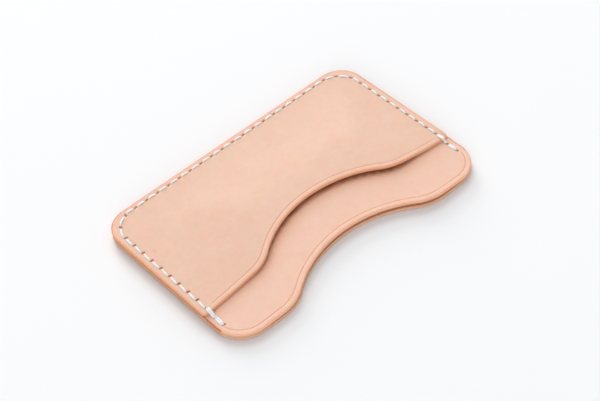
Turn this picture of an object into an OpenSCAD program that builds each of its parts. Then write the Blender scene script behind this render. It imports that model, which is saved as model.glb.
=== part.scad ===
// Flat leather card holder: three panels stacked and hand sewn around three sides, open at the mouth.
// Frame: X runs across the holder, -Y points out of the mouth and Z is up. The origin is the centre
// of the outline, on the surface that the holder rests on. All sizes are in millimetres.

/* [Panels] */
// Width over both side seams
holder_w = 92; // [90:0.5:98]
// Length from the closed edge to the tips of the mouth
holder_l = 60.5; // [59:0.5:64]
// Thickness of the leather
leather_t = 1; // [0.8:0.1:1.4]
// Radius of the two corners at the closed edge
closed_corner_r = 7.7; // [6:0.1:10]
// Radius of the two outer corners at the mouth
mouth_corner_r = 9.5; // [6:0.5:11]

/* [Thumb scoop] */
// How far the scoop goes in from the tips of the mouth
scoop_depth = 9.8; // [7:0.1:12]
// Radius of the hollow of the scoop
scoop_hollow_r = 36; // [28:1:38]
// Radius where the scoop runs out into each tip
scoop_shoulder_r = 14; // [10:1:17]

/* [Front lip] */
// Distance from the closed edge to the innermost point of the front lip
lip_start = 35.1; // [33:0.1:36]
// How far the hollow of the front lip goes in from its left shoulder
lip_depth = 10.2; // [9:0.1:11]
// How much less it goes in from its right shoulder
lip_uneven = 0.5; // [0:0.1:0.6]
// Radius of the hollow of the front lip
lip_hollow_r = 35; // [30:1:36]
// Radius of each shoulder of the front lip
lip_shoulder_r = 14; // [10:1:14]
// Angle at which the lip slopes on from each shoulder to the side
lip_slope = 5; // [2:0.5:6]
// Sideways shift of the innermost point of the front lip
lip_shift = 1.5; // [0:0.5:2]

/* [Pockets] */
// How far the front panel stands up over its pocket
front_rise = 1.3; // [0.6:0.1:1.8]
// How far the middle panel stands up over its pocket
middle_rise = 0.6; // [0.1:0.1:0.6]
// Distance over which those two panels rise from the left seam
left_run = 42; // [20:1:48]
// Distance over which they rise from the right seam
right_run = 20; // [16:1:30]
// Distance over which they rise from the closed edge
end_run = 30; // [16:1:36]
// How far the back panel bellies down
back_belly = 0.6; // [0.6:0.1:1.2]
// Distance over which the back panel goes down from the seam to its belly
belly_run = 16; // [12:1:24]

/* [Stitching] */
// Distance between stitch holes on the straight runs
pitch = 4; // [3.8:0.1:4.1]
// Distance from each side to the line of stitches
seam_margin = 2.2; // [2:0.1:2.6]
// Distance from the closed edge to the line of stitches
edge_margin = 1.9; // [1.8:0.1:2.4]
// Radius of the stitch line at the closed corners
seam_corner_r = 7.3; // [6:0.1:7.5]
// Holes up the left side
left_holes = 12; // [11:1:12]
// Holes along the closed edge
edge_holes = 19; // [18:1:19]
// Holes down the right side
right_holes = 11; // [10:1:11]
// Radius of one strand of thread
strand_r = 0.28; // [0.2:0.01:0.28]
// Radius of a stitch hole, which takes two strands side by side
hole_r = 0.72; // [0.7:0.01:0.8]

/* [Hidden] */

leather_colour = [0.93, 0.76, 0.65];
thread_colour = [0.96, 0.95, 0.93];

half_w = holder_w / 2;
half_l = holder_l / 2;
cut = 5;               // how far a cutting tool runs past what it cuts
arc_steps = 16;        // straight steps in a quarter turn or a lip curve
rise_steps = 10;       // straight steps in the rise of a panel

// Undersides of the three panels along the seam, where they touch each other
back_z = back_belly;
middle_z = back_z + leather_t;
front_z = middle_z + leather_t;
seam_top_z = front_z + leather_t;

// The panels lie flat from the edge to just inside the stitch line
flat_border = seam_margin + 1.2;
lift_runs = [left_run, right_run, end_run];
belly_runs = [belly_run, belly_run, belly_run];

// Holes: where the left run ends, where the edge and right runs start, and how far round a corner
// each corner hole lies
left_last_y = 21.15;
edge_first_x = -34.9;
right_first_y = 19.3;
corner_turns = [36.5, 73];
stitch_x = half_w - seam_margin;
stitch_y = half_l - edge_margin;
short_stitches = 2;    // at the mouth end of the left side
short_by = 0.5;        // how much shorter than the pitch each of those is
bare_holes = 2;        // on the right side, past the front lip
lip_step = 0.45;       // how much longer than the pitch the stitch over the lip is there

strand_offset = 0.4;   // from the middle of a hole to each of its two strands
strand_sides = 6;
lip_clearance = 0.35;  // how far past the lip a strand starts down to the middle panel

// Points along an arc about centre c, from angle a0 to angle a1
function arc(c, r, a0, a1) =
    [for (i = [0:arc_steps]) let (a = a0 + (a1 - a0) * i / arc_steps) c + r * [cos(a), sin(a)]];

// Right half of a scooped edge, from the middle outwards: a hollow, a shoulder and a straight run
function scooped_half(inner_y, depth, hollow_r, shoulder_r, slope, reach) =
    let (
        turn = acos(1 - depth / (hollow_r + shoulder_r)),
        hollow_c = [0, inner_y - hollow_r],
        shoulder_c = hollow_c + (hollow_r + shoulder_r) * [sin(turn), cos(turn)],
        shoulder = arc(shoulder_c, shoulder_r, 270 - turn, 270 - slope),
        last = shoulder[arc_steps]
    )
    concat(
        arc(hollow_c, hollow_r, 90, 90 - turn),
        shoulder,
        [[reach, last.y - (reach - last.x) * tan(slope)]]
    );

// The same half mirrored, running from the side inwards
function mirrored(points) = [for (i = [len(points) - 1:-1:0]) [-points[i].x, points[i].y]];

function shifted(points, dx) = [for (p = points) p + [dx, 0]];

// Both corners of the closed edge, from the right side round to the left side
closed_end = concat(
    arc([half_w - closed_corner_r, half_l - closed_corner_r], closed_corner_r, 0, 90),
    arc([closed_corner_r - half_w, half_l - closed_corner_r], closed_corner_r, 90, 180)
);

scoop_half = scooped_half(
    scoop_depth - half_l, scoop_depth, scoop_hollow_r, scoop_shoulder_r, 0, half_w - mouth_corner_r
);

// Outline shared by the middle and back panels
full_outline = concat(
    mirrored(scoop_half),
    scoop_half,
    arc([half_w - mouth_corner_r, mouth_corner_r - half_l], mouth_corner_r, 270, 360),
    closed_end,
    arc([mouth_corner_r - half_w, mouth_corner_r - half_l], mouth_corner_r, 180, 270)
);

function lip_half(depth, reach) =
    scooped_half(half_l - lip_start, depth, lip_hollow_r, lip_shoulder_r, lip_slope, reach);

lip_left = shifted(mirrored(lip_half(lip_depth, half_w + lip_shift)), lip_shift);
lip_right = shifted(lip_half(lip_depth - lip_uneven, half_w - lip_shift), lip_shift);

// Outline of the shorter front panel
front_outline = concat(lip_left, lip_right, closed_end);

// Y of the front lip at x, on the straight run next to each side
function lip_y(x) =
    let (side_y = x < 0 ? lip_left[0].y : lip_right[len(lip_right) - 1].y)
    side_y + (half_w - abs(x)) * tan(lip_slope);

// Stitch holes in sewing order: up the left side, along the closed edge and down the right side
holes = concat(
    [for (i = [0:left_holes - 1]) [-stitch_x, left_y(i)]],
    [for (turn = corner_turns) corner_hole(-1, 180 - turn)],
    [for (i = [0:edge_holes - 1]) [edge_first_x + i * pitch, stitch_y]],
    [for (turn = corner_turns) corner_hole(1, 90 - turn)],
    [for (i = [0:right_holes - 1]) [stitch_x, right_y(i)]]
);
last_hole = len(holes) - 1;

// Y of hole i on the left side, counted from the mouth
function left_y(i) =
    left_last_y - (left_holes - 1 - i) * pitch + max(0, short_stitches - i) * short_by;

// Y of hole i on the right side, counted from the closed edge
function right_y(i) = right_first_y - i * pitch - (i < right_holes - bare_holes ? 0 : lip_step);

function corner_hole(side, angle) =
    [side * (stitch_x - seam_corner_r), stitch_y - seam_corner_r]
    + seam_corner_r * [cos(angle), sin(angle)];

// A smooth rise from 0 to 1 as u goes from 0 to 1
function ease(u) = (1 - cos(180 * u)) / 2;

// Eased rise from height z to z + rise that starts at the flat border of a side at -half_size
function rise_profile(half_size, run, rise, z) =
    [for (i = [0:rise_steps])
        [flat_border - half_size + run * i / rise_steps, z + rise * ease(i / rise_steps)]];

// Everything below a surface that lies at z along the seam and at z + rise over the pocket.
// The runs are the distances over which it rises: from the left, the right and the closed edge.
module under_surface(z, rise, runs) {
    from_left = rise_profile(half_w, runs[0], rise, z);
    from_right = rise_profile(half_w, runs[1], rise, z);
    along = rise_profile(half_l, runs[2], rise, z);
    intersection() {
        rotate([90, 0, 0])
            linear_extrude(holder_l + 2 * cut, center = true)
                polygon(concat(
                    [[-half_w - cut, -cut], [-half_w - cut, z]], from_left,
                    mirrored(from_right), [[half_w + cut, z], [half_w + cut, -cut]]
                ));
        rotate([90, 0, -90])
            linear_extrude(holder_w + 2 * cut, center = true)
                polygon(concat(
                    [[-half_l - cut, -cut], [-half_l - cut, z]], along,
                    [[half_l + cut, z + rise], [half_l + cut, -cut]]
                ));
    }
}

module stitch_holes() {
    for (p = holes)
        translate([p.x, p.y, -cut])
            cylinder(h = seam_top_z + 2 * cut, r = hole_r, $fn = 24);
}

// One panel of leather, with its underside at z = 0 along the seam and risen over the pocket
module panel(outline, rise, runs) {
    intersection() {
        translate([0, 0, -cut])
            linear_extrude(leather_t + rise + 2 * cut)
                polygon(outline);
        difference() {
            under_surface(leather_t, rise, runs);
            translate([0, 0, -leather_t])
                under_surface(leather_t, rise, runs);
        }
    }
}

module back_panel() {
    color(leather_colour)
        difference() {
            translate([0, 0, middle_z])
                mirror([0, 0, 1])
                    panel(full_outline, back_belly, belly_runs);
            stitch_holes();
        }
}

module middle_panel() {
    color(leather_colour)
        difference() {
            translate([0, 0, middle_z])
                panel(full_outline, middle_rise, lift_runs);
            stitch_holes();
        }
}

module front_pocket() {
    color(leather_colour)
        difference() {
            translate([0, 0, front_z])
                panel(front_outline, front_rise, lift_runs);
            stitch_holes();
        }
}

// The thread's route: in from the last hole to the first on one strand and out again on the other
route = concat([for (i = [last_hole - 1:-1:0]) i], [for (i = [1:last_hole]) i]);
turn_back = last_hole - 1;

function unit(v) = v / norm(v);

// Unit vector from hole i towards hole j
function heading(i, j) = unit(holes[j] - holes[i]);

// From the middle of hole i to one of its two strands: side is 1 for outside and -1 for inside
function strand_shift(i, side) =
    let (seam = heading(max(i - 1, 0), min(i + 1, last_hole)))
    side * strand_offset * [-seam.y, seam.x];

function strand_z(i, on_top) =
    !on_top ? back_z - strand_r :
    holes[i].y > lip_y(holes[i].x) ? seam_top_z + strand_r : front_z + strand_r;

// A ring about a strand that heads along h. Lean is 1 where it bends down, -1 where it bends up
// and 0 where it runs on. Spin keeps the ring's corners in line past the turn back.
function ring(c, h, lean, spin) =
    [for (i = [0:strand_sides - 1])
        let (a = spin + 360 * i / strand_sides)
        c + strand_r * (cos(a) * [-h.y, h.x, 0] + sin(a) * [lean * h.x, lean * h.y, 1])];

// Where the strand passes hole number k of the route, at the top or the bottom of the hole
function pass_point(k, on_top) =
    let (
        i = route[k],
        outbound = k > turn_back ? 1 : -1,
        p = holes[i] + strand_shift(i, outbound * pass_lean(k))
    )
    [p.x, p.y, strand_z(i, on_top)];

// The strand goes up through the first hole of the route, down through the next, and so on
function pass_lean(k) = k % 2 == 0 ? -1 : 1;

// Both rings of a pass through a hole
function pass_rings(k) =
    let (
        lean = pass_lean(k),
        before = k == 0 ? last_hole : route[k - 1],
        h_in = heading(before, route[k]),
        h_out = k == len(route) - 1 ? h_in : heading(route[k], route[k + 1])
    )
    [
        ring(pass_point(k, lean > 0), h_in, lean, k > turn_back ? 180 : 0),
        ring(pass_point(k, lean < 0), h_out, lean, k >= turn_back ? 180 : 0)
    ];

// The extra ring where a stitch on top steps over the front lip
function lip_rings(k) =
    let (
        a = pass_point(k, true),
        b = pass_point(k + 1, true),
        y = lip_y(a.x) - lip_clearance,
        p = a + (b - a) * (y - a.y) / (b.y - a.y)
    )
    [ring([p.x, p.y, seam_top_z + strand_r], unit([b.x - a.x, b.y - a.y]), 0, k >= turn_back ? 180 : 0)];

function steps_over_lip(k) =
    pass_lean(k) < 0 && k < len(route) - 1 && strand_z(route[k], true) != strand_z(route[k + 1], true);

start_point = holes[last_hole] + strand_shift(last_hole, -1);

thread_rings = concat(
    [ring([start_point.x, start_point.y, back_z - strand_r], heading(last_hole, last_hole - 1), 0, 0)],
    [for (k = [0:len(route) - 1]) each concat(pass_rings(k), steps_over_lip(k) ? lip_rings(k) : [])]
);

module saddle_thread() {
    n = strand_sides;
    last_ring = len(thread_rings) - 1;
    color(thread_colour)
        polyhedron(
            points = [for (points = thread_rings) each points],
            faces = concat(
                [[for (i = [0:n - 1]) i]],
                [for (j = [0:last_ring - 1], i = [0:n - 1])
                    [j * n + i, (j + 1) * n + i, j * n + (i + 1) % n]],
                [for (j = [0:last_ring - 1], i = [0:n - 1])
                    [j * n + (i + 1) % n, (j + 1) * n + i, (j + 1) * n + (i + 1) % n]],
                [[for (i = [n - 1:-1:0]) last_ring * n + i]]
            )
        );
}

back_panel();
middle_panel();
front_pocket();
saddle_thread();
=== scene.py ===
import math

import bpy
import numpy as np
from mathutils import Matrix, Vector, noise
from mathutils.geometry import delaunay_2d_cdt


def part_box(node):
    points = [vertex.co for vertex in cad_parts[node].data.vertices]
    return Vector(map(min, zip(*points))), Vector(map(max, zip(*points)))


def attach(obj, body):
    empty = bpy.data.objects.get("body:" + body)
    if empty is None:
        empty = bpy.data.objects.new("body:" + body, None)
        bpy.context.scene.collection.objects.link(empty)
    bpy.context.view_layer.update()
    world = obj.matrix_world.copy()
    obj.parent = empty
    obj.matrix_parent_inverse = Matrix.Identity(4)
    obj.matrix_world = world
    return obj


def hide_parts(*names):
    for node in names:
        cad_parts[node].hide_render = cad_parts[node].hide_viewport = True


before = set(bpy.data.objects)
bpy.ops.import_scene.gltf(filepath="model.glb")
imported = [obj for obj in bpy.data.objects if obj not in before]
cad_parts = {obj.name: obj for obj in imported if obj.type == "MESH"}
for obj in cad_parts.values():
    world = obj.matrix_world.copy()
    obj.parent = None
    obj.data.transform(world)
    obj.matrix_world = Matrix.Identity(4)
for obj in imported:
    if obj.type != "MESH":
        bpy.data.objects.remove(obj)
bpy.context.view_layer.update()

# A hand-sewn leather card holder on a white table: a back, a middle and a front panel, joined round
# three sides by one saddle-stitched thread. It is worked out in millimetres and made in metres.
# X runs across it, -Y points out of the mouth and Z is up, with the origin on the table below the
# centre of the outline.
MM = 0.001

# ---------------------------------------------------------------- camera

CAMERA_PLACE = Vector((-171.68, -243.47, 312.64)) * MM
CAMERA_RIGHT = Vector((0.74566, -0.65896, -0.09883))
CAMERA_UP = Vector((0.53269, 0.50041, 0.68252))
CAMERA_LENS = 91.38


def make_camera():
    camera = bpy.data.objects.new("camera", bpy.data.cameras.new("camera"))
    bpy.context.scene.collection.objects.link(camera)
    camera.data.lens = CAMERA_LENS
    axes = Matrix((CAMERA_RIGHT, CAMERA_UP, CAMERA_RIGHT.cross(CAMERA_UP))).transposed()
    camera.matrix_world = Matrix.Translation(CAMERA_PLACE) @ axes.to_4x4()
    bpy.context.scene.camera = camera


make_camera()

# ---------------------------------------------------------------- sizes, in millimetres


def far_corner(node):
    """The highest X, Y and Z of a CAD node."""
    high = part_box(node)[1]
    return high.x / MM, high.y / MM, high.z / MM


HALF_W, HALF_L = far_corner("back_panel")[:2]   # half the holder's width and half its length

LEATHER = 1.0           # thickness of each panel
BACK_BELLY = 0.6        # how far the back panel sags below its seam
BACK_Z = BACK_BELLY     # underside of the back panel along its seam, and then of the other two
MIDDLE_Z = BACK_Z + LEATHER
FRONT_Z = MIDDLE_Z + LEATHER
MIDDLE_RISE = far_corner("middle_panel")[2] - FRONT_Z
FRONT_RISE = far_corner("front_pocket")[2] - FRONT_Z - LEATHER

CLOSED_CORNER = 7.7     # radius of the corners at the closed edge
MOUTH_CORNER = 9.5      # radius of the corners at the mouth
FREE_TURN = 75          # how far round a mouth corner the free edge runs, in degrees
FREE_FADE = 3           # the turn in which it becomes a sewn edge, in degrees

# A scooped edge has a hollow, a shoulder on each side of it and a run beyond each shoulder: how far
# in its middle lies and how deep it is, the radii of hollow and shoulder, and the slope of the run
SCOOP_DEPTH = 9.8
SCOOP = dict(inner_y=SCOOP_DEPTH - HALF_L, depth=SCOOP_DEPTH, hollow=36, shoulder=14, slope=0)
LIP_PLACE = 35.1        # from the closed edge to the middle of the front lip
LIP = dict(inner_y=HALF_L - LIP_PLACE, hollow=35, shoulder=14, slope=5)
LIP_LEFT_DEPTH = 10.2   # from the middle of the lip out to its left shoulder
LIP_RIGHT_DEPTH = 9.7   # and to its right shoulder
LIP_SHIFT = 1.5         # how far right of the holder's middle the lip's middle lies
LIP_CORNER = 1.6        # length of the soft corner at each end of the lip

SEAM_MARGIN = 2.2       # from a side of the holder to its row of stitches
EDGE_MARGIN = 1.9       # from the closed edge to its row
FLAT_BORDER = SEAM_MARGIN + 1.2     # all of the leather this near to a sewn side lies flat

# How far a panel takes to rise or to sag, in from its left, its right and its closed side
LIFT_RUNS = (42, 20, 30)
BELLY_RUNS = (16, 16, 16)

PITCH = 4               # from one stitch hole to the next
LEFT_HOLES = 12
EDGE_HOLES = 19
RIGHT_HOLES = 11
LEFT_LAST_Y = 21.15     # the left side's hole next to the corner
EDGE_FIRST_X = -34.9    # the closed edge's hole next to the left corner
RIGHT_FIRST_Y = 19.3    # the right side's hole next to the corner
SEAM_CORNER = 7.3       # radius of the row of stitches round a corner
CORNER_TURNS = (36.5, 73)   # where the two holes of a corner lie, in degrees from its side
SHORT_STITCHES = 2      # at the mouth end of the left side
SHORT_BY = 0.5          # how much shorter than the pitch each of those is
BARE_HOLES = 2          # on the right side, past the front lip
LIP_STEP = 0.45         # how much longer than the pitch the stitch over the lip is there

SKIN = 0.01             # air left between two panels that touch
OUTLINE_STEP = 0.36     # spacing of the points along an outline
FIELD_STEP = 1.5        # spacing of the points inside a panel

# ---------------------------------------------------------------- outlines

ARC_STEP = 0.2          # about how far apart the points of an arc lie
SOFT_STEPS = 8          # steps in the soft corner at each end of the lip


def arc(centre, radius, start, end):
    """Points about centre from one angle to the other, in degrees."""
    steps = max(2, int(abs(math.radians(end - start)) * radius / ARC_STEP))
    angles = np.radians(np.linspace(start, end, steps + 1))
    return np.asarray(centre) + radius * np.stack([np.cos(angles), np.sin(angles)], axis=1)


def scooped_half(inner_y, depth, hollow, shoulder, slope, reach):
    """Right half of a scooped edge: a hollow, a shoulder and a straight run out to x = reach."""
    turn = math.acos(1 - depth / (hollow + shoulder))
    degrees = math.degrees(turn)
    hollow_centre = np.array([0, inner_y - hollow])
    to_shoulder = np.array([math.sin(turn), math.cos(turn)])
    shoulder_centre = hollow_centre + (hollow + shoulder) * to_shoulder
    curve = np.vstack([
        arc(hollow_centre, hollow, 90, 90 - degrees),
        arc(shoulder_centre, shoulder, 270 - degrees, 270 - slope),
    ])
    last = curve[-1]
    end = [reach, last[1] - (reach - last[0]) * math.tan(math.radians(slope))]
    return np.vstack([curve, [end]])


def mirrored(points):
    return points[::-1] * [-1, 1]


def soft_corner(before, corner, after):
    """A small rounded corner in place of a sharp one."""
    leg_in = (before - corner) / np.linalg.norm(before - corner) * LIP_CORNER
    leg_out = (after - corner) / np.linalg.norm(after - corner) * LIP_CORNER
    u = np.linspace(0, 1, SOFT_STEPS + 1)[:, None]
    return corner + leg_in * (1 - u) ** 2 + leg_out * u ** 2


class Outline:
    """A closed outline, counter-clockwise, with the share of each point that is a free edge."""

    def __init__(self, sections):
        points = np.vstack([part for part, _ in sections])
        free = np.concatenate([np.full(len(part), float(mark)) for part, mark in sections])
        ahead = np.linalg.norm(np.roll(points, -1, axis=0) - points, axis=1)
        apart = ahead > 1e-6
        points, free, ahead = points[apart], free[apart], ahead[apart]
        travelled = np.concatenate([[0], np.cumsum(ahead)])
        count = round(travelled[-1] / OUTLINE_STEP)
        at = np.linspace(0, travelled[-1], count, endpoint=False)
        self.points = np.stack(
            [np.interp(at, travelled, np.append(points[:, k], points[0, k])) for k in (0, 1)],
            axis=1)
        self.free = np.interp(at, travelled, np.append(free, free[0]))

    def inward(self):
        """Direction into the panel at each point."""
        along = np.roll(self.points, -1, axis=0) - np.roll(self.points, 1, axis=0)
        along /= np.linalg.norm(along, axis=1)[:, None]
        return np.stack([-along[:, 1], along[:, 0]], axis=1)

    def nearest(self, points):
        """Distance from each point to the outline, and how free the edge is there."""
        start = self.points
        step = np.roll(start, -1, axis=0) - start
        marks = np.append(self.free, self.free[0])
        distances = []
        frees = []
        chunk_size = 2000
        for chunk in np.array_split(points, len(points) // chunk_size + 1):
            to_point = chunk[:, None] - start
            u = np.clip((to_point * step).sum(-1) / (step ** 2).sum(-1), 0, 1)
            square = ((to_point - u[..., None] * step) ** 2).sum(-1)
            at = square.argmin(axis=1)
            rows = np.arange(len(chunk))
            distances.append(np.sqrt(square[rows, at]))
            frees.append(np.interp(at + u[rows, at], np.arange(len(marks)), marks))
        return np.concatenate(distances), np.concatenate(frees)


def closed_end():
    """Both corners of the closed edge, from the right side round to the left side."""
    x = HALF_W - CLOSED_CORNER
    y = HALF_L - CLOSED_CORNER
    return np.vstack([arc([x, y], CLOSED_CORNER, 0, 90), arc([-x, y], CLOSED_CORNER, 90, 180)])


def full_outline():
    """Outline of the middle and back panels."""
    x = HALF_W - MOUTH_CORNER
    y = MOUTH_CORNER - HALF_L
    half = scooped_half(reach=x, **SCOOP)
    right_end = 270 + FREE_TURN
    left_end = 270 - FREE_TURN
    mouth = np.vstack([mirrored(half), half, arc([x, y], MOUTH_CORNER, 270, right_end)])
    return Outline([
        (mouth, True),
        (arc([x, y], MOUTH_CORNER, right_end + FREE_FADE, 360), False),
        (closed_end(), False),
        (arc([-x, y], MOUTH_CORNER, 180, left_end - FREE_FADE), False),
        (arc([-x, y], MOUTH_CORNER, left_end, 270), True),
    ])


def lip_curve():
    """The front lip from the left side to the right side."""
    left = mirrored(scooped_half(depth=LIP_LEFT_DEPTH, reach=HALF_W + LIP_SHIFT, **LIP))
    right = scooped_half(depth=LIP_RIGHT_DEPTH, reach=HALF_W - LIP_SHIFT, **LIP)
    return np.vstack([left, right[1:]]) + [LIP_SHIFT, 0]


def front_outline():
    """Outline of the front panel, which is free along its lip."""
    lip = lip_curve()
    end = closed_end()
    return Outline([
        (soft_corner(end[-1], lip[0], lip[1]), True),
        (lip[1:-1], True),
        (soft_corner(lip[-2], lip[-1], end[0]), True),
        (end, False),
    ])


def lip_y(x):
    """Y of the front lip at x."""
    lip = lip_curve()
    return float(np.interp(x, lip[:, 0], lip[:, 1]))


# ---------------------------------------------------------------- stitch holes

SLIT_WIDE = 0.24        # half the width of a stitch slit

# For the slits up the left side, round the left corner, along the closed edge and down the right
# side: how many holes, turn of the slit from the seam towards the outside, half the slit's length,
# and where the thread comes up and goes down beside the middle of the slit, along the seam and
# towards the outside.
SLIT_RUNS = (
    dict(count=LEFT_HOLES, lean=78, half=0.56, up=(0.16, 0.36), down=(-0.5, 0.02)),
    dict(count=len(CORNER_TURNS), lean=60, half=0.55, up=(0.4, 0.15), down=(-0.4, -0.1)),
    dict(count=EDGE_HOLES, lean=15, half=0.58, up=(0.6, 0.16), down=(-0.4, -0.05)),
    dict(count=len(CORNER_TURNS) + RIGHT_HOLES, lean=8, half=0.62, up=(0.62, 0.1),
         down=(-0.4, -0.05)),
)


def seam_holes():
    """The holes in sewing order: up the left side, along the closed edge, down the right side."""
    x = HALF_W - SEAM_MARGIN
    y = HALF_L - EDGE_MARGIN
    corner = np.array([x, y]) - SEAM_CORNER

    def corner_hole(side, degrees):
        turn = math.radians(degrees)
        return [side * corner[0] + SEAM_CORNER * math.cos(turn),
                corner[1] + SEAM_CORNER * math.sin(turn)]

    def left_y(i):
        full_row = LEFT_LAST_Y - (LEFT_HOLES - 1 - i) * PITCH
        return full_row + max(0, SHORT_STITCHES - i) * SHORT_BY

    def right_y(i):
        full_row = RIGHT_FIRST_Y - i * PITCH
        return full_row - (0 if i < RIGHT_HOLES - BARE_HOLES else LIP_STEP)

    left = [[-x, left_y(i)] for i in range(LEFT_HOLES)]
    left_corner = [corner_hole(-1, 180 - turn) for turn in CORNER_TURNS]
    edge = [[EDGE_FIRST_X + i * PITCH, y] for i in range(EDGE_HOLES)]
    right_corner = [corner_hole(1, 90 - turn) for turn in CORNER_TURNS]
    right = [[x, right_y(i)] for i in range(RIGHT_HOLES)]
    return np.array(left + left_corner + edge + right_corner + right)


def unit(vector):
    return vector / np.linalg.norm(vector)


def slit_values(name):
    """One value of SLIT_RUNS for each hole."""
    counts = [run["count"] for run in SLIT_RUNS]
    return np.repeat(np.array([run[name] for run in SLIT_RUNS], dtype=float), counts, axis=0)


def seam_directions(holes):
    """Direction of the seam at each hole, in sewing order."""
    last = len(holes) - 1
    return np.array([unit(holes[min(i + 1, last)] - holes[max(i - 1, 0)]) for i in range(last + 1)])


HOLES = seam_holes()
LAST_HOLE = len(HOLES) - 1
SEAMS = seam_directions(HOLES)
OUTWARD = np.stack([-SEAMS[:, 1], SEAMS[:, 0]], axis=1)
LEANS = np.radians(slit_values("lean"))[:, None]
SLITS = np.cos(LEANS) * SEAMS + np.sin(LEANS) * OUTWARD
SLIT_HALF = slit_values("half")
THREAD_UP = slit_values("up")
THREAD_DOWN = slit_values("down")


def slit_distance(points, chosen):
    """Distance from each point to the nearest of the chosen slits, and 0 inside one."""
    nearest = np.full(len(points), np.inf)
    for i in chosen:
        away = points - HOLES[i]
        straight = SLIT_HALF[i] - SLIT_WIDE
        along = np.clip(away @ SLITS[i], -straight, straight)
        rim = np.linalg.norm(away - along[:, None] * SLITS[i], axis=1) - SLIT_WIDE
        nearest = np.minimum(nearest, rim)
    return np.clip(nearest, 0, None)


def slit_loop(i, growth):
    """A loop of points round slit i, outside its rim by growth."""
    across = np.array([-SLITS[i][1], SLITS[i][0]])
    loop = []
    for side in (1, -1):
        for degrees in range(-90, 91, 30):
            turn = math.radians(degrees)
            end = side * (SLIT_HALF[i] - SLIT_WIDE)
            offset = side * (SLIT_WIDE + growth) * np.array([math.cos(turn), math.sin(turn)])
            loop.append(HOLES[i] + SLITS[i] * (end + offset[0]) + across * offset[1])
    return np.array(loop)


# ---------------------------------------------------------------- leather panels

# Rings of points that follow an outline, by how far in they lie. Those for the crease are made
# only along a free edge, and those for the seam only along a sewn edge.
RIM_INSETS = (0.015, 0.06, 0.13, 0.225, 0.34, 0.46, 0.65, 0.88, 1.1, 1.6, 2.2, 2.55)
CREASE_INSETS = (1.2, 1.3, 1.4, 1.5, 1.7, 1.8, 1.9, 2.02)
SEWN_INSETS = (1.35, 1.85)
FIELD_INSETS = (2.95, 3.4, 4.0, 4.8)
RING_SLACK = 0.004      # how much nearer than its inset a point of a ring may come to the outline
FIELD_CLEAR = 0.8       # from the innermost ring to the evenly spaced points
SLIT_GROWTHS = (0.04, 0.1, 0.2, 0.34)   # how far outside a slit its loops of points lie
SLIT_CLEAR = 0.44       # no other point comes nearer to a slit than this
MERGE_WITHIN = 1e-7     # points nearer to each other than this become one
SHARP_ANGLE = 55        # an edge that turns by more than this isn't shaded smooth, in degrees

# Bands along an edge: how far in from it the middle lies, and how far from there it fades
BURNISH = dict(centre=0, reach=0.5)
ARRIS = dict(centre=0.1, reach=0.26)        # the dark line along a sewn edge
CREASE = dict(centre=1.6, reach=0.17)
RIDGE = dict(centre=1.18, reach=0.2)        # the leather pushed up beside the crease, with a painted highlight along it
PITTED = dict(centre=3.5, reach=0.9)        # the coarser grain inside the row of stitches
CREASE_DEEP = 0.06
RIDGE_HIGH = 0.04

# Radius of a panel's edge where it lies against another panel and where it is on the outside, and
# how much that grows along a free edge
INNER_RIM = 0.1
OUTER_RIM = 0.3
FREE_FRONT_RIM = 0.02
FREE_MIDDLE_RIM = 0.22
FREE_BACK_RIM = 0.12
FREE_UNDER_RIM = 0.1

DIMPLE_DEEP = 0.07      # how far the thread draws the leather in round a slit
DIMPLE_REACH = 0.15
BED_DEEP = 0.06         # how far a stitch sinks into the leather
BED_REACH = 0.42
PRICKED_AND_SHADED_REACH = 0.09    # how far the brown round a slit goes: partly the pricked rim's own darker colour, partly painted shade of the hole

# The front panel
PRESS_INSET = 1.2       # from a side to where the lock stitches press the lip's end down
PRESS_DEPTHS = ((-1, 0.12), (1, 0.42))  # how far, on the left side and on the right side
PRESS_REACH = (1.6, 1.9)    # along X and along Y
WORN_REACH = 1.3        # of the burnish at the lip's tips
FRONT_CREASE_END = 42.5     # the crease stops this far from the middle, short of both sides
FRONT_CREASE_FADE = 1.5
FRONT_WAVES = 0.05      # height of the waves in it
HIGHER_BY = 0.08        # how much higher it stands right of its middle
HIGHER_BAND = dict(centre=21, reach=10)
ARRIS_START = 0.5       # how far in from the left side its dark line begins
ARRIS_FADE = 2          # and how much farther it takes to be at its darkest
LEFT_ROW_END = 42.8     # the left side's slits lie farther left than this
LEFT_ROW_FADE = 0.8
FAINTER_BY = 0.15       # how much fainter the painted hole shade is at the other slits than at the left side's
FRONT_TONE = 0.7        # share of the burnish that its free edge has
BLEMISH_PLACE = (-41.2, 11.3)
BLEMISH_REACH = 0.45

# The middle panel, which has painted shadow and painted warm shade along the edge of the front lip
MIDDLE_WAVES = 0.03
BARE_Y = -16            # past this its sides aren't covered by the front panel
BARE_FADE = 2
# Painted shadow: dark brown laid on just beyond the front lip, where the lip's shadow falls
LIP_SHADOW = dict(centre=0, reach=0.8, power=1.5)
# Painted shade: a warm tint that fades out over a few millimetres beyond the front lip
WARM_LIP_SHADE = dict(centre=0, reach=2.6, power=1.5)
WARM_LIP_SHADE_SEAM = 0.4     # share of the painted warm shade where the front panel lies flat

# The back panel, which sags less towards the mouth
BELLY_LESS = 0.5
BELLY_LESS_Y = -6       # where that begins
BELLY_LESS_FADE = 14
INNER_TONE = 0.45       # share of the burnish that its and the middle panel's free edges have


def ease(u):
    """A smooth rise from 0 to 1 as u goes from 0 to 1."""
    return (1 - np.cos(np.pi * np.clip(u, 0, 1))) / 2


def band(distance, centre, reach, power=2):
    """1 at the centre, fading out smoothly over reach on both sides."""
    return np.exp(-(np.abs(distance - centre) / reach) ** power)


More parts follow.
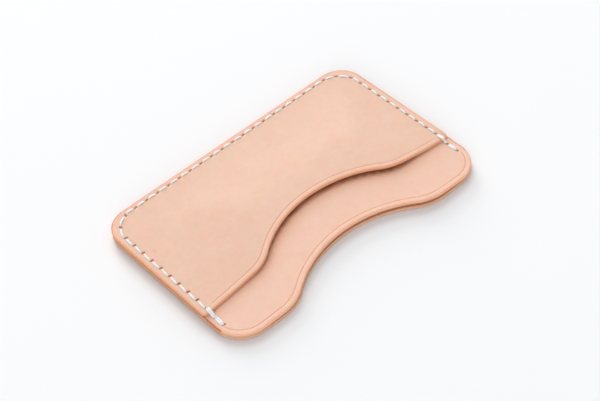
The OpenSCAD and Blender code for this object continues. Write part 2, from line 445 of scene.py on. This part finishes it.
def lift(points, runs):
    """How far a panel has risen over its pocket: 0 along the seam, 1 in the open."""
    sharpness = 16      # of the blend between the rises from three sides
    from_left = ease((points[:, 0] + HALF_W - FLAT_BORDER) / runs[0])
    from_right = ease((HALF_W - FLAT_BORDER - points[:, 0]) / runs[1])
    from_end = ease((HALF_L - FLAT_BORDER - points[:, 1]) / runs[2])
    total = sum(np.exp(-sharpness * rise) for rise in (from_left, from_right, from_end))
    open_value = 1 - math.log(3) / sharpness
    return np.clip(-np.log(total) / sharpness / open_value, 0, 1)


def rounding(distance, radius):
    """How far a rounded rim has dropped at a distance in from its edge."""
    inset = np.clip(radius - distance, 0, radius)
    return radius - np.sqrt(radius ** 2 - inset ** 2)


def field_points(outline):
    """Evenly staggered points over a panel, clear of its border."""
    rows = np.arange(-HALF_L, HALF_L, FIELD_STEP * math.sqrt(3) / 2)
    grid = []
    for k, y in enumerate(rows):
        xs = np.arange(-HALF_W, HALF_W, FIELD_STEP) + (k % 2) * FIELD_STEP / 2
        grid.append(np.stack([xs, np.full(len(xs), y)], axis=1))
    grid = np.vstack(grid)
    distance, _ = outline.nearest(grid)
    return grid[inside(outline.points, grid) & (distance > FIELD_INSETS[-1] + FIELD_CLEAR)]


def inside(loop, points):
    """Whether each point lies inside a closed loop."""
    x, y = points[:, :1], points[:, 1:]
    x0, y0 = loop[:, 0], loop[:, 1]
    x1, y1 = np.roll(x0, -1), np.roll(y0, -1)
    crosses = (y0 > y) != (y1 > y)
    with np.errstate(divide="ignore", invalid="ignore"):
        left_of = x < x0 + (y - y0) * (x1 - x0) / (y1 - y0)
    return (crosses & left_of).sum(axis=1) % 2 == 1


def triangulate(outline, slits):
    """A flat triangle mesh of a panel with its slits cut out, fine where the leather turns."""
    inward = outline.inward()
    loops = [outline.points] + [slit_loop(i, 0) for i in slits]
    extra = []
    for inset in RIM_INSETS + CREASE_INSETS + SEWN_INSETS + FIELD_INSETS:
        ring = outline.points + inward * inset
        if inset in FIELD_INSETS:
            ring = ring[::2]
        distance, free = outline.nearest(ring)
        kept = distance > inset - RING_SLACK
        if inset in CREASE_INSETS:
            kept &= free > 0
        if inset in SEWN_INSETS:
            kept &= free == 0
        extra.append(ring[kept])
    extra.append(field_points(outline))
    extra = np.vstack(extra)
    extra = extra[slit_distance(extra, slits) > SLIT_CLEAR]
    rings = [slit_loop(i, growth) for i in slits for growth in SLIT_GROWTHS]
    points = np.vstack(loops + [extra] + rings)
    edges = []
    start = 0
    for loop in loops:
        count = len(loop)
        edges += [(start + k, start + (k + 1) % count) for k in range(count)]
        start += count
    inside_with_holes = 2
    flat, _, faces = delaunay_2d_cdt(
        [Vector(p) for p in points], edges, [], inside_with_holes, MERGE_WITHIN)[:3]
    return np.array([tuple(p) for p in flat]), np.array(faces)


def boundary(triangles):
    """Edges that only one triangle has, in that triangle's direction."""
    directed = {(t[k], t[(k + 1) % 3]) for t in triangles.tolist() for k in range(3)}
    return [(a, b) for a, b in directed if (b, a) not in directed]


def link(name, points, faces, marks):
    """A smooth-shaded object from points in millimetres, with marks as point attributes."""
    mesh = bpy.data.meshes.new(name)
    mesh.from_pydata((np.asarray(points) * MM).tolist(), [], faces)
    for mark, values in marks.items():
        layer = mesh.attributes.new(mark, "FLOAT", "POINT")
        layer.data.foreach_set("value", np.asarray(values, dtype=np.float32))
    mesh.shade_smooth()
    mesh.set_sharp_from_angle(angle=math.radians(SHARP_ANGLE))
    mesh.update()
    made = bpy.data.objects.new(name, mesh)
    bpy.context.scene.collection.objects.link(made)
    return made


def ripple(points, length, seed):
    """Gentle waves from -1 to 1 over the flat points."""
    return np.array([noise.noise(Vector((x / length, y / length, seed))) for x, y in points])


def make_panel(name, flat, triangles, shape):
    """One panel of leather. shape gives, at each point, the heights of both faces and the marks."""
    top, bottom, marks = shape
    count = len(flat)
    points = np.vstack([np.column_stack([flat, top]), np.column_stack([flat, bottom])])
    faces = triangles.tolist()
    faces += [[c + count, b + count, a + count] for a, b, c in triangles.tolist()]
    faces += [[a, a + count, b + count, b] for a, b in sorted(boundary(triangles))]
    both = {mark: np.concatenate(sides) for mark, sides in marks.items()}
    return link(name, points, faces, both)


def leather_marks(distance, free, slit, grain_up, free_tone):
    """Where the leather is burnished, creased, pricked and rough, on the top and on the underside,
    with a painted highlight along the ridge beside the crease and painted shade in each slit's rim.
    """
    burnish = band(distance, **BURNISH) * (1 - (1 - free_tone) * free)
    crease = free * band(distance, **CREASE) * grain_up
    # painted highlight along the ridge beside the crease
    ridge = free * band(distance, **RIDGE) * grain_up
    # the slit's own darker rim, together with painted shade of the hole
    pricked_and_shaded = band(slit, 0, PRICKED_AND_SHADED_REACH)
    pitted = band(distance, **PITTED) * (1 - free)
    arris = band(distance, **ARRIS) * (1 - free)
    nowhere, everywhere = np.zeros_like(distance), np.ones_like(distance)
    return dict(
        burnish=(burnish, burnish),
        arris=(arris * grain_up, arris * (not grain_up)),
        crease=(crease, nowhere),
        ridge=(ridge, nowhere),
        pricked_and_shaded=(pricked_and_shaded, pricked_and_shaded),
        pitted=(pitted * grain_up, pitted * (not grain_up)),
        flesh=(nowhere, everywhere) if grain_up else (everywhere, nowhere),
    )


def fade_on_top(marks, name, share):
    """Keep a share of a mark on a panel's top face."""
    on_top, underneath = marks[name]
    marks[name] = (on_top * share, underneath)


def crease_relief(distance, free):
    """Height of the crease line and of the ridge raised beside it."""
    groove = CREASE_DEEP * band(distance, **CREASE)
    ridge = RIDGE_HIGH * band(distance, **RIDGE)
    return free * (ridge - groove)


def pressed(flat):
    """How far the lock stitches have pressed down the front panel at each end of its lip."""
    depth = np.zeros(len(flat))
    for side, most in PRESS_DEPTHS:
        x = side * (HALF_W - PRESS_INSET)
        away = np.hypot((flat[:, 0] - x) / PRESS_REACH[0], (flat[:, 1] - lip_y(x)) / PRESS_REACH[1])
        depth = np.maximum(depth, most * band(away, 0, 1))
    return depth


def lip_end_wear(flat):
    """Burnished tips where the lip meets the two sides."""
    wear = np.zeros(len(flat))
    for side in (-1, 1):
        x = side * HALF_W
        away = np.hypot(flat[:, 0] - x, flat[:, 1] - lip_y(x))
        wear = np.maximum(wear, band(away, 0, WORN_REACH))
    return wear


def stitch_bed(flat, stitches):
    """How deep the stitches between holes lie in the leather."""
    depth = np.zeros(len(flat))
    for i, j in stitches:
        start, end = HOLES[i], HOLES[j]
        share = np.clip((flat - start) @ (end - start) / ((end - start) @ (end - start)), 0, 1)
        away = np.linalg.norm(flat - start - share[:, None] * (end - start), axis=1)
        depth = np.maximum(depth, BED_DEEP * band(away, 0, BED_REACH))
    return depth


def dimple(slit):
    """How deep the leather is drawn in round a slit."""
    return DIMPLE_DEEP * band(slit, 0, DIMPLE_REACH)


def front_shape(flat, outline):
    """Top and bottom heights of the front panel, and its marks."""
    distance, free = outline.nearest(flat)
    slit = slit_distance(flat, front_slits)
    x = flat[:, 0]
    creased = ease((FRONT_CREASE_END - np.abs(x)) / FRONT_CREASE_FADE)
    raised = lift(flat, LIFT_RUNS)
    base = FRONT_Z + SKIN + FRONT_RISE * raised
    base += FRONT_WAVES * raised * ripple(flat, length=14, seed=3.7)
    base += HIGHER_BY * raised * band(x, **HIGHER_BAND)
    top = base + LEATHER - 2 * SKIN - rounding(distance, OUTER_RIM + FREE_FRONT_RIM * free)
    top -= dimple(slit)
    top += crease_relief(distance, free * creased) - pressed(flat)
    top -= stitch_bed(flat, zip(front_slits, front_slits[1:]))
    bottom = base + rounding(distance, INNER_RIM + FREE_UNDER_RIM * free)

    marks = leather_marks(distance, free, slit, True, FRONT_TONE)
    fade_on_top(marks, "crease", creased)
    fade_on_top(marks, "ridge", creased)
    fade_on_top(marks, "arris", ease((x + HALF_W - ARRIS_START) / ARRIS_FADE))
    # the painted hole shade is fainter at the slits past the left side
    fade_on_top(marks, "pricked_and_shaded", 1 - FAINTER_BY * ease((x + LEFT_ROW_END) / LEFT_ROW_FADE))
    worn_end = lip_end_wear(flat)
    marks["burnish"] = tuple(np.maximum(face, worn_end) for face in marks["burnish"])
    blemish = band(np.linalg.norm(flat - BLEMISH_PLACE, axis=1), 0, BLEMISH_REACH)
    marks["blemish"] = (blemish, 0 * blemish)
    return top, bottom, marks


def middle_shape(flat, outline):
    """Top and bottom heights of the middle panel, and its marks, with painted shadow and painted warm
    shade beyond the front lip.
    """
    distance, free = outline.nearest(flat)
    open_slits = [i for i in full_slits if i not in front_slits]
    slit = slit_distance(flat, open_slits)
    raised = lift(flat, LIFT_RUNS)
    base = MIDDLE_Z + SKIN + MIDDLE_RISE * raised
    base += MIDDLE_WAVES * raised * ripple(flat, length=16, seed=9.1)
    bare = ease((BARE_Y - flat[:, 1]) / BARE_FADE)
    top_rim = INNER_RIM + FREE_MIDDLE_RIM * np.maximum(bare, free)
    top = base + LEATHER - 2 * SKIN - rounding(distance, top_rim) - dimple(slit)
    top += crease_relief(distance, free)
    top -= stitch_bed(flat, ((0, 1), (LAST_HOLE - 1, LAST_HOLE)))
    bottom = base + rounding(distance, INNER_RIM + FREE_UNDER_RIM * free)

    marks = leather_marks(distance, free, slit, True, INNER_TONE)
    from_lip = np.where(inside(front_edge.points, flat), 0, front_edge.nearest(flat)[0])
    # painted shadow close beyond the front lip, strongest where the lip stands highest
    lip_shadow = raised * band(from_lip, **LIP_SHADOW)
    # painted warm shade round the lip's painted shadow, fainter where the front panel lies flat
    warm_lip_shade = (WARM_LIP_SHADE_SEAM + (1 - WARM_LIP_SHADE_SEAM) * raised) * band(from_lip, **WARM_LIP_SHADE)
    marks["lip_shadow"] = (lip_shadow, 0 * lip_shadow)
    marks["warm_lip_shade"] = (warm_lip_shade, 0 * warm_lip_shade)
    return top, bottom, marks


def back_shape(flat, outline):
    """Top and bottom heights of the back panel, and its marks."""
    distance, free = outline.nearest(flat)
    slit = slit_distance(flat, full_slits)
    sag = 1 - BELLY_LESS * ease((BELLY_LESS_Y - flat[:, 1]) / BELLY_LESS_FADE)
    base = BACK_Z + SKIN - BACK_BELLY * sag * lift(flat, BELLY_RUNS)
    top = base + LEATHER - 2 * SKIN - rounding(distance, INNER_RIM + FREE_BACK_RIM * free)
    bottom = base + rounding(distance, OUTER_RIM) + dimple(slit)
    bottom += stitch_bed(flat, zip(full_slits, full_slits[1:]))
    return top, bottom, leather_marks(distance, free, slit, False, INNER_TONE)


full_slits = range(len(HOLES))
front_slits = [i for i in full_slits if HOLES[i][1] > lip_y(HOLES[i][0])]

full_edge = full_outline()
full_flat, full_triangles = triangulate(full_edge, full_slits)
front_edge = front_outline()
front_flat, front_triangles = triangulate(front_edge, front_slits)

back = make_panel("back_leather_panel", full_flat, full_triangles,
                  back_shape(full_flat, full_edge))
middle = make_panel("middle_leather_panel", full_flat, full_triangles,
                    middle_shape(full_flat, full_edge))
front = make_panel("front_leather_pocket", front_flat, front_triangles,
                   front_shape(front_flat, front_edge))

# ---------------------------------------------------------------- saddle stitching

STITCH_R = 0.34         # half the width of the thread where it lies on the leather
STITCH_FLAT = 0.6       # its height there as a share of its width
STITCH_HIGH = 0.1       # middle of a stitch above the leather
PASS_R = 0.16           # radius where it is squeezed through a slit
STRAND_STEP = 0.13      # spacing of the rings along the thread
STRAND_SIDES = 14
PLIES = 3
PLY_DEEP = 0.07         # depth of the groove between plies, as a share of the radius
PLY_STEP = 2.6          # from one ply to the next along the thread
TUCK = 0.28             # how far into a slit the thread has turned down
UNDER_REACH = 0.45      # from the middle of a slit to where the thread leaves it underneath
ARCH_STEPS = 14
ARCH_POWER = 3.2        # a higher power keeps a stitch full for more of its length
STEP_INSET = 0.15       # how far inside the lip a stitch over it begins to step down
LIP_END_INSET = 2       # from a side to about where the stitches cross the lip
SQUEEZE_FROM = 0.2      # depth in the leather at which the thread is squeezed the most
SQUEEZE_RUN = 0.36      # rise from there to where it is full
ROUTE_STEP = 0.1        # spacing of the points along the thread while its turns are eased
ROUTE_PASSES = 6        # times they are eased

# How far the middle of a stitch bows out of line: a plain one, one at the left corner, and the
# first and second strand of a doubled one, on top and underneath
PLAIN_BOW = 0.12
CORNER_BOW = 0.3
DOUBLED_BOWS = (0.2, -0.12)
UNDER_BOWS = (0.25, -0.25)

BACK_STITCHES = 2       # stitches sewn twice at each end of the row

# Where the first and the second strand of a doubled stitch pass its slits, along the seam and
# outwards, at the left end and at the right end of the row
LOCK_UP = (((0.0, 0.3), (-0.1, 0.05)), ((0.55, 0.12), (0.4, -0.1)))
LOCK_DOWN = (((0.15, 0.1), (0.45, -0.3)), ((-0.1, 0.1), (-0.3, -0.1)))


def top_height(i):
    """Height of the surface that the top stitches enter at hole i."""
    return FRONT_Z + LEATHER if i in front_slits else FRONT_Z


def is_doubled(i, j):
    """Whether the stitch between two neighbouring holes is sewn twice."""
    low, high = min(i, j), max(i, j)
    return high <= BACK_STITCHES or low >= LAST_HOLE - BACK_STITCHES


def slit_place(i, j, is_second):
    """Where at slit i the thread turns down from a top stitch that leads to hole j."""
    along, out = THREAD_UP[i] if j > i else THREAD_DOWN[i]
    if is_doubled(i, j):
        at_right = i > LAST_HOLE / 2
        along, out = (LOCK_UP if j > i else LOCK_DOWN)[at_right][is_second]
    return HOLES[i] + along * SEAMS[i] + out * OUTWARD[i]


def arch(start, end, height_at, crown, bow):
    """A stitch from one slit to the next: drawn down at both ends and lying full between."""
    u = np.linspace(0, 1, ARCH_STEPS + 1)
    seam = unit(end - start)
    outward = np.array([-seam[1], seam[0]])
    plan = start + (end - start) * u[:, None] + outward * (bow * 4 * u * (1 - u))[:, None]
    fullness = 1 - np.abs(2 * u - 1) ** ARCH_POWER
    return np.column_stack([plan, height_at(plan) + crown * fullness])


def top_path(i, j, is_second):
    """The thread's path over the top from hole i to hole j."""
    start, end = slit_place(i, j, is_second), slit_place(j, i, is_second)
    over = np.array([top_height(i), top_height(j)])
    edge_y = lip_y(start[0]) + STEP_INSET

    def height_at(plan):
        if over[0] == over[1]:
            return np.full(len(plan), over[0] - TUCK)
        low_y = end[1] if over[1] < over[0] else start[1]
        slope = np.clip((plan[:, 1] - low_y) / (edge_y - low_y), 0, 1)
        return over.min() + (over.max() - over.min()) * slope - TUCK

    forward = 1 if j > i else -1
    near_corner = LEFT_HOLES <= max(i, j) <= LEFT_HOLES + len(CORNER_TURNS)
    bow = forward * (CORNER_BOW if near_corner else PLAIN_BOW)
    if is_doubled(i, j):
        bow = forward * DOUBLED_BOWS[is_second]
    return arch(start, end, height_at, TUCK + STITCH_HIGH, bow)


def bottom_path(i, j, is_second):
    """The thread's path over the underside from hole i to hole j."""
    forward = 1 if j > i else -1
    start = HOLES[i] - forward * UNDER_REACH * SLITS[i]
    end = HOLES[j] + forward * UNDER_REACH * SLITS[j]
    bow = forward * UNDER_BOWS[is_second] if is_doubled(i, j) else 0
    return arch(start, end, lambda plan: np.full(len(plan), BACK_Z + TUCK),
                -TUCK - STITCH_HIGH, bow)


def strand_path(starts_on_top):
    """One half of the thread: back from the third hole to the first, along the whole row to the
    last hole, and back two stitches to lock it."""
    route = list(range(BACK_STITCHES, 0, -1)) + list(range(LAST_HOLE + 1))
    route += list(range(LAST_HOLE - 1, LAST_HOLE - 1 - BACK_STITCHES, -1))
    paths = []
    on_top = starts_on_top
    for step, (i, j) in enumerate(zip(route, route[1:])):
        is_return = step < BACK_STITCHES or step >= len(route) - 1 - BACK_STITCHES
        make = top_path if on_top else bottom_path
        paths.append(make(i, j, is_return))
        on_top = not on_top
    return np.vstack(paths)


def smoothed(points, passes):
    """The path with its sharp turns eased."""
    for _ in range(passes):
        inner = (points[:-2] + 2 * points[1:-1] + points[2:]) / 4
        points = np.vstack([points[:1], inner, points[-1:]])
    return points


def even_path(points, step):
    """Points at even steps along a path."""
    travelled = np.concatenate([[0], np.cumsum(np.linalg.norm(np.diff(points, axis=0), axis=1))])
    at = np.linspace(0, travelled[-1], round(travelled[-1] / step) + 1)
    return np.stack([np.interp(at, travelled, points[:, k]) for k in range(3)], axis=1)


def fullness_of(points):
    """1 where the thread lies on the leather and 0 where it is squeezed through a slit."""
    lip_end = lip_y(-HALF_W + LIP_END_INSET)
    surface = np.where(points[:, 1] > lip_end, FRONT_Z + LEATHER, FRONT_Z)
    outside = np.maximum(points[:, 2] - surface, BACK_Z - points[:, 2])
    return ease((outside + SQUEEZE_FROM) / SQUEEZE_RUN)


def sweep(points, fullness):
    """A closed tube of twisted plies along a path, flattened where it is full."""
    radii = PASS_R + (STITCH_R - PASS_R) * fullness
    ahead = np.gradient(points, axis=0)
    ahead /= np.linalg.norm(ahead, axis=1)[:, None]
    side = np.zeros_like(points)
    off_axis = [0.3, 0.5, 0.8]
    side[0] = unit(np.cross(ahead[0], off_axis))
    for k in range(1, len(points)):
        side[k] = unit(side[k - 1] - ahead[k] * (side[k - 1] @ ahead[k]))
    over = np.cross(ahead, side)
    travelled = np.arange(len(points)) * STRAND_STEP
    angles = np.arange(STRAND_SIDES) * 2 * np.pi / STRAND_SIDES
    twist = travelled[:, None] * 2 * np.pi / PLY_STEP
    lobe = 1 - PLY_DEEP + PLY_DEEP * np.cos(PLIES * angles - twist)
    radius = radii[:, None] * lobe
    rings = ((radius * np.cos(angles))[..., None] * side[:, None]
             + (radius * np.sin(angles))[..., None] * over[:, None])
    rings[..., 2] *= 1 - (1 - STITCH_FLAT) * fullness[:, None]
    rings += points[:, None]
    count = len(points)
    faces = []
    for k in range(count - 1):
        for s in range(STRAND_SIDES):
            t = (s + 1) % STRAND_SIDES
            near, far = k * STRAND_SIDES, (k + 1) * STRAND_SIDES
            faces.append([near + s, near + t, far + t, far + s])
    faces.append(list(range(STRAND_SIDES))[::-1])
    faces.append([(count - 1) * STRAND_SIDES + s for s in range(STRAND_SIDES)])
    return rings.reshape(-1, 3), faces


def make_thread():
    """One thread: both halves start in the third hole, one on top and the other underneath."""
    path = np.vstack([strand_path(True)[::-1], strand_path(False)])
    path = even_path(smoothed(even_path(path, ROUTE_STEP), ROUTE_PASSES), STRAND_STEP)
    points, faces = sweep(path, fullness_of(path))
    return link("saddle_thread_strands", points, faces, {})


thread = make_thread()

# ---------------------------------------------------------------- materials

LIGHT = (0.82, 0.535, 0.41, 1)
DARK = (0.79, 0.494, 0.364, 1)
# The middle panel's leather, painted lighter than the other panels' to offset the shade that the
# front lip casts on it
LIT_MIDDLE_LIGHT = (0.887, 0.57, 0.446, 1)
LIT_MIDDLE_DARK = (0.858, 0.53, 0.395, 1)
FLESH_LIGHT = (0.76, 0.48, 0.33, 1)
FLESH_DARK = (0.58, 0.33, 0.20, 1)
EDGE = (0.90, 0.41, 0.21, 1)
DEEP_EDGE = (0.66, 0.25, 0.11, 1)
WARM_SHADE = (0.82, 0.34, 0.17, 1)
SCAR = (0.66, 0.32, 0.22, 1)
# dark brown of the painted shadow beyond the front lip, and of the slits' rims with their painted
# hole shade
BROWN = (0.34, 0.10, 0.035, 1)
BEVEL_BROWN = (0.36, 0.13, 0.05, 1)
CREASE_BROWN = (0.70, 0.27, 0.12, 1)
RIDGE_HIGHLIGHT = (0.95, 0.68, 0.52, 1)
THREAD_WHITE = (0.92, 0.915, 0.91, 1)
THREAD_GREY = (0.80, 0.785, 0.775, 1)
TABLE_WHITE = (0.91, 0.91, 0.915, 1)
TABLE_GREY = (0.90, 0.90, 0.905, 1)

# What marks lay over the leather's colour, in order: the mark, its share and its colour
UNDER_BURNISH = (
    # painted warm shade beyond the front lip
    ("warm_lip_shade", 0.45, WARM_SHADE),
    # painted shadow cast by the front lip
    ("lip_shadow", 0.9, BROWN),
    ("blemish", 0.6, SCAR),
)
OVER_BURNISH = (
    ("arris", 0.85, BEVEL_BROWN),
    ("crease", 0.7, CREASE_BROWN),
    # painted highlight along the ridge beside the crease
    ("ridge", 0.25, RIDGE_HIGHLIGHT),
    # the slits' darker rims with painted shade of the holes
    ("pricked_and_shaded", 0.95, BROWN),
)


def node(tree, kind, sockets=None, **settings):
    """A new node with its settings, whose sockets take values or the outputs of other nodes."""
    made = tree.nodes.new(kind)
    for name, value in settings.items():
        setattr(made, name, value)
    for key, value in (sockets or {}).items():
        if isinstance(value, bpy.types.NodeSocket):
            tree.links.new(value, made.inputs[key])
        else:
            made.inputs[key].default_value = value
    return made


def new_material(name):
    """A material with its shader, and the object coordinates in millimetres."""
    material = bpy.data.materials.new(name)
    material.use_nodes = True
    tree = material.node_tree
    tree.nodes.clear()
    shader = node(tree, "ShaderNodeBsdfPrincipled")
    node(tree, "ShaderNodeOutputMaterial", {"Surface": shader.outputs[0]})
    place = node(tree, "ShaderNodeTexCoord").outputs["Object"]
    scaled = node(tree, "ShaderNodeVectorMath", {0: place, "Scale": 1 / MM}, operation="SCALE")
    return material, tree, shader, scaled.outputs[0]


def noise_field(tree, place, scale, detail=3.0, roughness=0.55):
    """Cloudy noise, whose scale is about how many clouds there are to a millimetre."""
    return node(tree, "ShaderNodeTexNoise", {
        "Vector": place, "Scale": scale, "Detail": detail, "Roughness": roughness,
    }).outputs[0]


def cell_field(tree, place, scale):
    """Distance to the middle of the nearest of many small cells."""
    cells = node(tree, "ShaderNodeTexVoronoi", {"Vector": place, "Scale": scale})
    return cells.outputs["Distance"]


def ranged(tree, value, low, high, to_low=0.0, to_high=1.0):
    """A value mapped from one range to another and kept inside it."""
    return node(tree, "ShaderNodeMapRange", {
        "Value": value, "From Min": low, "From Max": high, "To Min": to_low, "To Max": to_high,
    }).outputs[0]


def mixed(tree, share, first, second):
    """Two colours mixed, with share of the second."""
    return node(tree, "ShaderNodeMix", {0: share, 6: first, 7: second},
                data_type="RGBA").outputs[2]


def times(tree, first, second):
    return node(tree, "ShaderNodeMath", {0: first, 1: second}, operation="MULTIPLY").outputs[0]


def summed(tree, first, *others):
    """The sum of two or more values."""
    for other in others:
        first = node(tree, "ShaderNodeMath", {0: first, 1: other}, operation="ADD").outputs[0]
    return first


def mark_of(tree, name):
    """A mark that the mesh carries, and 0 on a mesh without it."""
    return node(tree, "ShaderNodeAttribute", attribute_name=name).outputs["Fac"]


def laid_on(tree, colour, layers):
    """A colour with the colours of some marks laid over it."""
    for mark, share, layer in layers:
        colour = mixed(tree, times(tree, mark_of(tree, mark), share), colour, layer)
    return colour


def leather(name, light, dark):
    """Natural vegetable-tanned leather: grain side, burnished edges and a rough flesh side."""
    material, tree, shader, place = new_material(name)
    burnish = mark_of(tree, "burnish")
    flesh = mark_of(tree, "flesh")

    clouds = noise_field(tree, place, 0.16, detail=3.0, roughness=0.5)
    blotches = noise_field(tree, place, 0.55, detail=4.0, roughness=0.6)
    fine = noise_field(tree, place, 7.0, detail=3.0, roughness=0.6)
    specks = noise_field(tree, place, 2.6, detail=2.0)
    lengthened = node(tree, "ShaderNodeVectorMath", {0: place, 1: (2.6, 2.6, 9.0)},
                      operation="MULTIPLY").outputs[0]
    fibres = noise_field(tree, lengthened, 1.0, detail=4.0, roughness=0.7)
    pores = times(tree, ranged(tree, cell_field(tree, place, 1.7), 0.1, 0.2, 1.0, 0.0),
                  ranged(tree, specks, 0.56, 0.68))
    pits = times(tree, ranged(tree, cell_field(tree, place, 1.5), 0.14, 0.26, 1.0, 0.0),
                 mark_of(tree, "pitted"))

    tone = summed(tree, times(tree, clouds, 0.5), times(tree, blotches, 0.5))
    colour = mixed(tree, ranged(tree, tone, 0.33, 0.67), light, dark)
    colour = mixed(tree, times(tree, pores, 0.16), colour, EDGE)
    colour = mixed(tree, times(tree, pits, 0.2), colour, EDGE)
    colour = mixed(tree, flesh, colour, mixed(tree, fibres, FLESH_LIGHT, FLESH_DARK))
    colour = laid_on(tree, colour, UNDER_BURNISH)
    edge = mixed(tree, ranged(tree, fibres, 0.44, 0.64), EDGE, DEEP_EDGE)
    colour = mixed(tree, ranged(tree, burnish, 0.06, 1.0, 0.0, 0.95), colour, edge)
    colour = laid_on(tree, colour, OVER_BURNISH)
    tree.links.new(colour, shader.inputs["Base Color"])

    worn = ranged(tree, blotches, 0.3, 0.7, 0.5, 0.62)
    rough = summed(tree, worn, times(tree, burnish, -0.18), times(tree, flesh, 0.25))
    tree.links.new(rough, shader.inputs["Roughness"])
    shader.inputs["Specular IOR Level"].default_value = 0.25
    shader.inputs["Subsurface Weight"].default_value = 0.65
    shader.inputs["Subsurface Radius"].default_value = (1.0, 0.35, 0.15)
    shader.inputs["Subsurface Scale"].default_value = 1.6 * MM
    shader.inputs["Sheen Weight"].default_value = 0.04
    shader.inputs["Sheen Roughness"].default_value = 0.5

    grain = times(tree, cell_field(tree, place, 3.4), 0.35)
    suede = times(tree, times(tree, fibres, 3.0), flesh)
    relief = summed(tree, grain, times(tree, fine, 0.4), times(tree, pores, -0.5),
                    times(tree, pits, -0.7), suede)
    bump = node(tree, "ShaderNodeBump", {"Height": relief, "Distance": 0.05 * MM, "Strength": 0.6})
    tree.links.new(bump.outputs[0], shader.inputs["Normal"])
    return material


def waxed_thread(name):
    """White waxed thread: fine fibres along the plies, slightly shiny."""
    material, tree, shader, place = new_material(name)
    hairs = noise_field(tree, place, 8.0, detail=3.0, roughness=0.7)
    wax = noise_field(tree, place, 0.9, detail=2.0)
    colour = mixed(tree, ranged(tree, hairs, 0.35, 0.7), THREAD_WHITE, THREAD_GREY)
    tree.links.new(colour, shader.inputs["Base Color"])
    tree.links.new(ranged(tree, wax, 0.3, 0.7, 0.38, 0.55), shader.inputs["Roughness"])
    shader.inputs["Sheen Weight"].default_value = 0.15
    shader.inputs["Subsurface Weight"].default_value = 0.3
    shader.inputs["Subsurface Radius"].default_value = (1.0, 1.0, 1.0)
    shader.inputs["Subsurface Scale"].default_value = 0.2 * MM
    bump = node(tree, "ShaderNodeBump", {"Height": hairs, "Distance": 0.04 * MM, "Strength": 0.5})
    tree.links.new(bump.outputs[0], shader.inputs["Normal"])
    return material


def tabletop(name):
    """Plain matt white."""
    material, tree, shader, place = new_material(name)
    soft = noise_field(tree, place, 0.01, detail=2.0)
    tree.links.new(mixed(tree, soft, TABLE_GREY, TABLE_WHITE), shader.inputs["Base Color"])
    shader.inputs["Roughness"].default_value = 0.9
    shader.inputs["Specular IOR Level"].default_value = 0.1
    return material


for piece, node_name, slot, light, dark in (
    (back, "back_panel", "back_leather", LIGHT, DARK),
    (middle, "middle_panel", "middle_leather", LIT_MIDDLE_LIGHT, LIT_MIDDLE_DARK),
    (front, "front_pocket", "front_leather", LIGHT, DARK),
):
    piece.data.materials.append(leather(slot, light, dark))
    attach(piece, "root")
    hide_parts(node_name)

thread.data.materials.append(waxed_thread("thread"))
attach(thread, "root")
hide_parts("saddle_thread")

# ---------------------------------------------------------------- floor and light

# In metres and watts
FLOOR_REACH = 6.0
ROOM_COLOUR = (0.97, 0.985, 1.0, 1)
ROOM_STRENGTH = 0.52
LAMPS = (
    dict(name="key", place=(0.98, 1.48, 1.85), size=1.5, power=26.0),
    dict(name="backdrop", place=(0.99, 2.72, 0.78), size=1.4, power=57.0),
    dict(name="fill", place=(-1.4, -1.35, 0.9), size=1.6, power=18.0),
)


def make_floor():
    reach = FLOOR_REACH
    corners = [(-reach, -reach, 0), (reach, -reach, 0), (reach, reach, 0), (-reach, reach, 0)]
    mesh = bpy.data.meshes.new("floor")
    mesh.from_pydata(corners, [], [(0, 1, 2, 3)])
    floor = bpy.data.objects.new("floor", mesh)
    bpy.context.scene.collection.objects.link(floor)
    floor.data.materials.append(tabletop("tabletop"))


def make_lamp(name, place, size, power):
    """A square soft light at a place, facing the holder."""
    lamp = bpy.data.lights.new(name, "AREA")
    lamp.energy = power
    lamp.size = size
    made = bpy.data.objects.new(name, lamp)
    bpy.context.scene.collection.objects.link(made)
    place = Vector(place)
    turn = (-place).to_track_quat("-Z", "Y")
    made.matrix_world = Matrix.Translation(place) @ turn.to_matrix().to_4x4()


def light_room():
    world = bpy.data.worlds.new("room")
    bpy.context.scene.world = world
    world.use_nodes = True
    background = world.node_tree.nodes["Background"]
    background.inputs["Color"].default_value = ROOM_COLOUR
    background.inputs["Strength"].default_value = ROOM_STRENGTH
    for lamp in LAMPS:
        make_lamp(**lamp)
    bpy.context.scene.view_settings.view_transform = "Standard"


make_floor()
light_room()
